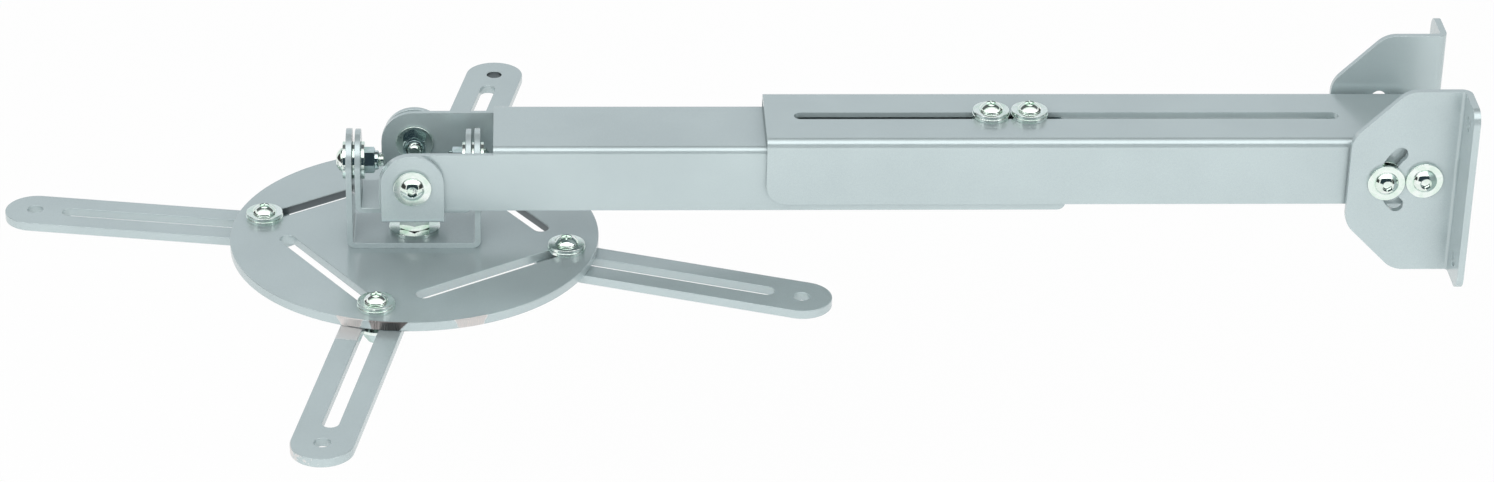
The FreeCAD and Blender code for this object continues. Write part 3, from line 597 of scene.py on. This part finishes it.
def disc_rim_wear_and_painted_shade(surface):
    """Three slanted worn patches on the front of the rim, painted shade on the walls of the rear
    slots, and a painted shadow line on the rim's lower edge where it meets the front arm."""
    x, y, z = surface.split(DISC_CENTRE)
    radius = far_from(surface, x, y)
    on_rim = surface.ramp(radius, DISC_RIM - RIM_SOFT, DISC_RIM + RIM_SOFT, 0.0, 1.0)
    angle = surface.math("ARCTAN2", y, x)
    angle = surface.math("ADD", angle, ragged_edge(surface, 0.02))
    brushed = surface.add("ShaderNodeTexNoise")
    stretch = surface.add("ShaderNodeCombineXYZ")
    surface.links.new(surface.math("MULTIPLY", angle, BRUSH_ALONG), stretch.inputs["X"])
    surface.links.new(surface.math("MULTIPLY", z, BRUSH_ACROSS), stretch.inputs["Y"])
    surface.links.new(stretch.outputs[0], brushed.inputs["Vector"])
    brushed.inputs["Scale"].default_value = 1.0
    lines = surface.ramp(brushed.outputs["Fac"], 0.35, 0.65, 0.0, 1.0)
    low, high = (math.radians(end) for end in PALER_PART)
    paler = surface.ramp(angle, low, high, *PALER_SHARE)
    dark = surface.blend(surface.math("MULTIPLY", lines, paler), BARE_DARK, BARE_PALE)
    pale = surface.blend(surface.math("MULTIPLY", lines, PALE_BRUSHED), BARE_PALE, COAT)
    down = surface.math("MULTIPLY", z, -1.0 / DISC_THICK)
    masks = []
    for low, high, low_lean, high_lean, tint, gloss in RIM_PATCHES:
        tone = dark if tint == "dark" else pale
        low_shift = surface.math("MULTIPLY", down, math.radians(low_lean))
        high_shift = surface.math("MULTIPLY", down, math.radians(high_lean))
        start = surface.math("SUBTRACT", angle, low_shift)
        stop = surface.math("SUBTRACT", angle, high_shift)
        first = math.radians(low)
        last = math.radians(high)
        past = surface.ramp(start, first - PATCH_SOFT, first + PATCH_SOFT, 0.0, 1.0)
        before = surface.ramp(stop, last - PATCH_SOFT, last + PATCH_SOFT, 1.0, 0.0)
        window = surface.math("MULTIPLY", past, before)
        masks.append((surface.math("MULTIPLY", window, on_rim), tone, gloss))
    # Painted shade: the walls of the rear slots are painted dark, as if in shadow
    within = surface.between(z, *WALL_HEIGHTS, RIM_SOFT)
    inside = surface.ramp(radius, DISC_RIM - WALL_DEPTH[0], DISC_RIM - WALL_DEPTH[1], 1.0, 0.0)
    behind = surface.ramp(y, *REAR_HALF, 0.0, 1.0)
    wall = surface.math("MULTIPLY", surface.math("MULTIPLY", within, inside), behind)
    masks.append((wall, PAINTED_SHADE, WALL_ROUGH))
    # Painted shadow: a dark line on the rim's lower edge above the front arm, standing in for the
    # contact shadow
    lower = surface.ramp(z, LOWER_EDGE[0] - DISC_THICK, LOWER_EDGE[1] - DISC_THICK, 1.0, 0.0)
    low, high = (math.radians(end) for end in OVER_FRONT_ARM)
    over_arm = surface.between(angle, low, high, 0.003)
    line = surface.math("MULTIPLY", surface.math("MULTIPLY", lower, on_rim), over_arm)
    masks.append((line, PAINTED_SHADE, WALL_ROUGH))
    return masks


BAND_ALONG = (0.0860, 0.1000)
BAND_ACROSS = (0.0015, 0.0140)
BAND_SHARE = 0.65
TIP_RADIUS = (0.0128, 0.0131)
TIP_ACROSS = (-0.0010, 0.0140)
TIP_ALONG = (-0.0015, 0.0005)
TIP_SHARE = 0.8
BARE_ROUGH = 0.42


def bare_front_arm(surface):
    """A pale band beside the disc and a pale patch on the edge of the tip."""
    along, across, height = surface.split(FRONT_TIP, FRONT_TURN)
    along = surface.math("ADD", along, ragged_edge(surface, 0.002))
    top = surface.ramp(height, -0.0004, -0.0002, 0.0, 1.0)
    band = surface.math("MULTIPLY", surface.between(along, *BAND_ALONG, 0.0006),
                        surface.between(across, *BAND_ACROSS, 0.0002))
    band = surface.math("MULTIPLY", band, top)
    radius = far_from(surface, along, across)
    rim = surface.math("MULTIPLY", surface.ramp(radius, *TIP_RADIUS, 0.0, 1.0),
                       surface.between(across, *TIP_ACROSS, 0.0008))
    rim = surface.math("MULTIPLY", rim, surface.ramp(along, *TIP_ALONG, 1.0, 0.0))
    return [(surface.math("MULTIPLY", band, BAND_SHARE), BARE_BAND, BARE_ROUGH),
            (surface.math("MULTIPLY", rim, TIP_SHARE), BARE_PALE, BARE_ROUGH)]


# Where the painted shade goes in the bore at the back arm's tip
BACK_BORE = (-0.4245, 0.1692, -0.0445)
BORE_HEIGHTS = (-0.0037, -0.0003)
BORE_RADIUS = (0.0040, 0.0041)
BORE_ROUGH = 0.4


def painted_shade_bore(surface):
    """Painted shade on the wall of the small hole at the back arm's tip, dark as if in shadow."""
    x, y, z = surface.split(BACK_BORE)
    radius = far_from(surface, x, y)
    within = surface.between(z, *BORE_HEIGHTS, RIM_SOFT)
    # Painted shade: the bore's wall is darkened to stand in for its shadow
    bore = surface.math("MULTIPLY", within, surface.ramp(radius, *BORE_RADIUS, 1.0, 0.0))
    return [(bore, PAINTED_SHADE, BORE_ROUGH)]


# Dressing

def dress_sheets():
    coat = powder_coat("silver_powder_coat")
    worn_and_shaded_disc = powder_coat("silver_powder_coat_worn_rim_painted_shade", disc_rim_wear_and_painted_shade)
    worn_arm = powder_coat("silver_powder_coat_worn_arm", bare_front_arm)
    shaded_bore_coat = powder_coat("silver_powder_coat_painted_shade_bore", painted_shade_bore)
    coats = {"slotted_disc": worn_and_shaded_disc, "arm_front": worn_arm, "arm_back": shaded_bore_coat}
    sheets = ["bracket_front", "bracket_rear", "outer_channel", "inner_channel", "gimbal_cross",
              "lower_yoke", "slotted_disc"] + ["arm_" + side for side in SIDES]
    for node in sheets:
        coated_sheet(node, coats.get(node, coat))


OUTWARD = {"x": Vector((1, 0, 0)), "y": Vector((0, 1, 0))}
UP = Vector((0, 0, 1))


def away(axis):
    """Points out from the middle of the set, along one axis."""
    line = OUTWARD[axis]
    return lambda centre, middle: line * math.copysign(1, (centre - middle).dot(line))


def inward(axis):
    """Points towards the middle of the set, along one axis."""
    line = OUTWARD[axis]
    return lambda centre, middle: line * -math.copysign(1, (centre - middle).dot(line))


def upward(centre, middle):
    return UP


def downward(centre, middle):
    return -UP


# Colour, tint of the film, and roughness
ZINC_SCREW = ((0.88, 0.93, 0.90), (0.70, 0.84, 0.74), 0.08)
ZINC_WASHER = ((0.90, 0.96, 0.93), (0.74, 0.88, 0.79), 0.12)
ZINC_NUT = ((0.64, 0.74, 0.76), (0.46, 0.60, 0.56), 0.10)


def dress_fasteners():
    screw_zinc = bright_zinc("zinc_screw", *ZINC_SCREW)
    washer_zinc = bright_zinc("zinc_washer", *ZINC_WASHER)
    nut_zinc = bright_zinc("zinc_nut", *ZINC_NUT)
    screws = [("tilt_pivot_screws", away("y")), ("tilt_guide_screws", away("y")),
              ("slot_screws", upward), ("pitch_screws", away("y")), ("roll_screws", away("x"))]
    washers = [("tilt_washers", "y"), ("tilt_spacers", "y"), ("tilt_nut_washers", "y"),
               ("slot_spring_washers", "z"), ("slot_washers", "z"), ("slot_spacers", "z"),
               ("slot_nut_washers", "z"), ("pitch_washers", "y"), ("pitch_nut_washers", "y"),
               ("roll_washers", "x"), ("roll_gap_washers", "x"), ("roll_nut_washers", "x"),
               ("centre_washer", "z"), ("centre_lower_washer", "z")]
    nuts = [("tilt_nuts", inward("y")), ("slot_nuts", downward), ("pitch_nuts", inward("y")),
            ("roll_nuts", inward("x"))]
    for side in SIDES:
        screws.append(("arm_screw_" + side, upward))
        nuts.append(("arm_nut_" + side, downward))
        washers += [("arm_washer_" + side, "z"), ("arm_spring_washer_" + side, "z"),
                    ("arm_nut_washer_" + side, "z")]
    for node, heads in screws:
        node_set(node, screw_of, screw_zinc, heads)
    for node, heads in nuts:
        node_set(node, lambda tall: lock_nut(), nut_zinc, heads)
    for node, axis in washers:
        washer_set(node, axis, washer_zinc)
    centre_set(screw_zinc)


def screw_of(tall):
    """A screw as tall as the CAD solid, moved so that its lowest point is at zero."""
    length = tall - SOLID_HEAD_HIGH
    bm = button_screw(length)
    bmesh.ops.translate(bm, vec=(0, 0, length * MM), verts=bm.verts)
    return bm


# Outside diameter of a washer to the radius of its bore, in millimetres
BORES = {16.5: 3.2, 16.0: 3.2, 22.5: 4.2, 20.0: 4.2}


def washer_set(node, axis, material):
    boxes = solids(node)
    way = {"x": OUTWARD["x"], "y": OUTWARD["y"], "z": UP}[axis]
    whole = bmesh.new()
    for low, high in boxes:
        centre = (low + high) / 2
        size = high - low
        thick = abs(size.dot(way))
        wide = max(size) / MM
        bore = BORES[min(BORES, key=lambda width: abs(width - wide))]
        part = washer_shape(wide / 2, bore, thick / MM)
        stand(part, centre - way * thick / 2, way)
        merge(whole, part)
    new_piece(whole, node + "_made", node, material)


CENTRE_FLATS = 13.0
CENTRE_HEAD_HIGH = 5.3


def centre_set(material):
    """The large hexagon bolt below the disc and its nut on the yoke's floor."""
    low, high = solids("centre_nut")[0]
    spot = Vector(((low.x + high.x) / 2, (low.y + high.y) / 2, low.z))
    nut = plain_nut(CENTRE_FLATS, (high.z - low.z) / MM)
    stand(nut, spot, UP)
    new_piece(nut, "centre_nut_made", "centre_nut", material)
    low, high = solids("centre_bolt")[0]
    length = (high.z - low.z) / MM - CENTRE_HEAD_HIGH
    bolt = hex_bolt(CENTRE_FLATS, CENTRE_HEAD_HIGH, length)
    stand(bolt, Vector((spot.x, spot.y, low.z + CENTRE_HEAD_HIGH * MM)), -UP)
    new_piece(bolt, "centre_bolt_made", "centre_bolt", material)


# Studio: a white floor, soft lamps, and boards that only reflections show

FLOOR_LEVEL = -0.30
FLOOR_HALF = 6
FLOOR_WHITE = 0.92
REFLECTED_WHITE = 0.6


def studio_white():
    """White where the camera, gloss or glass sees it, over a plain part that keeps the shadow."""
    surface = Surface("studio_white")
    surface.shader.inputs["Base Color"].default_value = (0.95, 0.95, 0.95, 1.0)
    surface.shader.inputs["Roughness"].default_value = 0.9
    path = surface.add("ShaderNodeLightPath")
    seen = surface.math("MAXIMUM", path.outputs["Is Camera Ray"],
                        path.outputs["Is Transmission Ray"])
    reflected = surface.math("MULTIPLY", path.outputs["Is Glossy Ray"], REFLECTED_WHITE)
    share = surface.math("MAXIMUM", surface.math("MULTIPLY", seen, FLOOR_WHITE), reflected)
    white = surface.add("ShaderNodeEmission")
    mix = surface.add("ShaderNodeMixShader")
    surface.links.new(share, mix.inputs[0])
    surface.links.new(surface.shader.outputs[0], mix.inputs[1])
    surface.links.new(white.outputs[0], mix.inputs[2])
    surface.links.new(mix.outputs[0], surface.nodes["Material Output"].inputs["Surface"])
    return surface.material


def board_paint(name, brightness, tint):
    """An even glow for a studio board, from 0 for black to 1 for white."""
    surface = Surface(name)
    surface.nodes.remove(surface.shader)
    glow = surface.add("ShaderNodeEmission")
    glow.inputs["Strength"].default_value = brightness
    glow.inputs["Color"].default_value = (*tint, 1.0)
    surface.links.new(glow.outputs[0], surface.nodes["Material Output"].inputs["Surface"])
    return surface.material


def flat_board(name, corner, first, second, material):
    """A flat board from a corner along two sides, which is stage and not part of the object."""
    bm = bmesh.new()
    bmesh.ops.create_grid(bm, x_segments=1, y_segments=1, size=0.5)
    first = Vector(first)
    second = Vector(second)
    sides = Matrix((first, second, first.cross(second).normalized())).transposed().to_4x4()
    middle = Vector(corner) + (first + second) / 2
    bmesh.ops.transform(bm, matrix=Matrix.Translation(middle) @ sides, verts=bm.verts)
    mesh = bpy.data.meshes.new(name)
    bm.to_mesh(mesh)
    bm.free()
    mesh.materials.append(material)
    board = bpy.data.objects.new(name, mesh)
    bpy.context.collection.objects.link(board)
    return board


WHITE = (1.0, 1.0, 1.0)
COOL = (0.91, 0.96, 1.0)
DEEP_BLUE = (0.50, 0.80, 1.0)

# Corner, the two sides, brightness and tint of each board that only reflections show
BOARDS = {
    "board_overhead": ((-2.4, -1.75, 1.6), (4.2, 0, 0), (0, 1.55, 0), 2.3, WHITE),
    "board_front": ((-2.8, -2.3, -0.28), (4.8, 0, 0), (0, 0, 2.40), 0.06, DEEP_BLUE),
    "board_behind_top": ((-2.4, 0.25, 1.6), (4.2, 0, 0), (0, 1.1, -0.3), 0.15, COOL),
    "board_back": ((-2.8, 2.4, 0.20), (4.8, 0, 0), (0, -0.7, 1.1), 0.82, COOL),
    "board_right": ((1.1, -1.2, -0.20), (0, 2.2, 0), (0, 0, 0.9), 0.06, WHITE),
    "board_left": ((-2.0, 1.0, -0.20), (0, -2.2, 0), (0, 0, 0.9), 0.06, WHITE),
}


def set_boards():
    for name, (corner, first, second, brightness, tint) in BOARDS.items():
        paint = board_paint(name + "_paint", brightness, tint)
        board = flat_board(name, corner, first, second, paint)
        board.visible_camera = False
        board.visible_diffuse = False
        board.visible_shadow = False


def soft_lamp(name, place, target, size, power):
    data = bpy.data.lights.new(name, "AREA")
    data.shape = "RECTANGLE"
    data.size, data.size_y = size
    data.energy = power
    lamp = bpy.data.objects.new(name, data)
    bpy.context.collection.objects.link(lamp)
    lamp.location = place
    lamp.rotation_euler = (Vector(target) - Vector(place)).to_track_quat("-Z", "Y").to_euler()
    lamp.visible_glossy = False


def make_world(strength):
    world = bpy.data.worlds.new("studio")
    world.use_nodes = True
    nodes = world.node_tree.nodes
    links = world.node_tree.links
    path = nodes.new("ShaderNodeLightPath")
    seen = nodes.new("ShaderNodeMath")
    seen.operation = "MAXIMUM"
    also = nodes.new("ShaderNodeMath")
    also.operation = "MAXIMUM"
    links.new(path.outputs["Is Camera Ray"], seen.inputs[0])
    links.new(path.outputs["Is Glossy Ray"], seen.inputs[1])
    links.new(seen.outputs[0], also.inputs[0])
    links.new(path.outputs["Is Transmission Ray"], also.inputs[1])
    power = nodes.new("ShaderNodeMapRange")
    links.new(also.outputs[0], power.inputs["Value"])
    power.inputs["To Min"].default_value = strength
    power.inputs["To Max"].default_value = 1.0
    links.new(power.outputs["Result"], nodes["Background"].inputs["Strength"])
    nodes["Background"].inputs["Color"].default_value = (1, 1, 1, 1)
    bpy.context.scene.world = world


# Place, what it is aimed at, width and height in metres, and watts
LAMPS = {
    "key": ((-1.3, -1.9, 1.5), (-0.4, 0, 0), (1.4, 1.1), 18),
    "fill": ((0.4, -2.2, 0.35), (-0.3, 0, 0), (1.6, 0.9), 15),
}
WORLD_STRENGTH = 0.80


def make_studio():
    flat_board("floor", (-FLOOR_HALF, -FLOOR_HALF, FLOOR_LEVEL), (2 * FLOOR_HALF, 0, 0),
               (0, 2 * FLOOR_HALF, 0), studio_white())
    set_boards()
    for name, (place, target, size, power) in LAMPS.items():
        soft_lamp(name, place, target, size, power)
    make_world(WORLD_STRENGTH)


def main():
    make_camera()
    dress_sheets()
    dress_fasteners()
    make_studio()
    bpy.context.scene.view_settings.view_transform = "Standard"


main()
